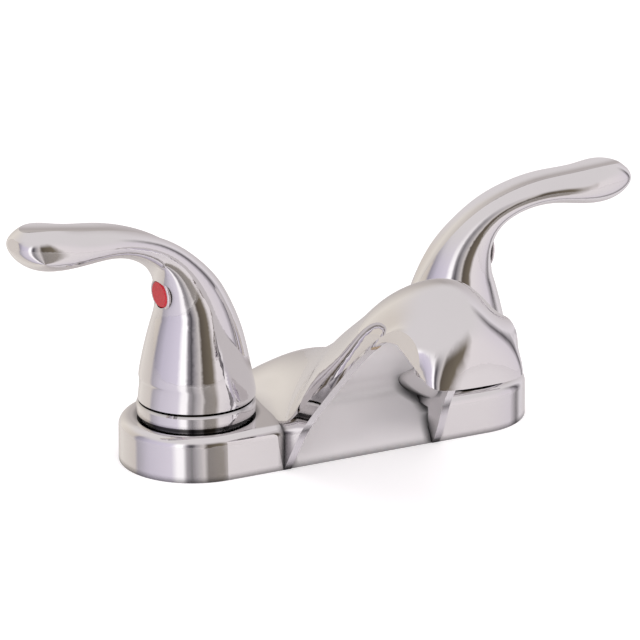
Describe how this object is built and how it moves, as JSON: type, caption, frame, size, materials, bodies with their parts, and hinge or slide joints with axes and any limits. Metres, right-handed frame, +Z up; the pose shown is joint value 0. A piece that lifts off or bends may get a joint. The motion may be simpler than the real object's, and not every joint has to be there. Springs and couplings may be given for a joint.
{
  "type": "two-handle bathroom faucet",
  "caption": "Two-handle centreset bathroom faucet: arched spout on an oval base with a lever handle each side for hot and cold water.",
  "frame": {"origin": "on the deck face midway between the two handle axes", "axes": "+X towards the cold handle, -Y towards the user and the spout's outlet, +Z up"},
  "size_m": [0.2338, 0.1329, 0.1382],
  "materials": {
    "chrome": "polished",
    "underside": "polished, softer than the body",
    "hot_red": "gloss",
    "cold_blue": "gloss",
    "brass": "turned",
    "copper": "drawn tube",
    "steel": "plated",
    "rubber": "matte",
    "ceramic": "lapped ceramic",
    "cartridge_plastic": "moulded",
    "white_plastic": "moulded"
  },
  "bodies": {
    "faucet": {"spout_body": "chrome", "spout_underside_panel": "underside", "base_gasket": "rubber", "tee_block": "brass", "spout_tube": "copper", "outlet_fitting": "brass", "aerator_housing": "chrome", "aerator_insert": "white_plastic", "aerator_washer": "rubber", "hot_trim_ring": "chrome", "hot_bonnet_nut": "brass", "hot_cartridge_housing": "cartridge_plastic", "hot_fixed_disc": "ceramic", "hot_seat_seal": "rubber", "hot_o_ring": "rubber", "hot_valve_body": "brass", "hot_feed_tube": "copper", "hot_mounting_nut": "brass", "hot_mounting_washer": "steel", "cold_trim_ring": "chrome", "cold_bonnet_nut": "brass", "cold_cartridge_housing": "cartridge_plastic", "cold_fixed_disc": "ceramic", "cold_seat_seal": "rubber", "cold_o_ring": "rubber", "cold_valve_body": "brass", "cold_feed_tube": "copper", "cold_mounting_nut": "brass", "cold_mounting_washer": "steel"},
    "hot_lever": {"hot_handle": "chrome", "hot_index_button": "hot_red", "hot_handle_screw": "steel", "hot_cartridge_stem": "brass", "hot_moving_disc": "ceramic"},
    "cold_lever": {"cold_handle": "chrome", "cold_index_button": "cold_blue", "cold_handle_screw": "steel", "cold_cartridge_stem": "brass", "cold_moving_disc": "ceramic"}
  },
  "joints": [
    {"name": "hot_handle_turn", "type": "hinge", "parent": "faucet", "child": "hot_lever", "pos_m": [-0.0508, 0, 0.03], "axis": [0, 0, 1], "range_deg": [0, 90]},
    {"name": "cold_handle_turn", "type": "hinge", "parent": "faucet", "child": "cold_lever", "pos_m": [0.0508, 0, 0.03], "axis": [0, 0, -1], "range_deg": [0, 90]}
  ]
}
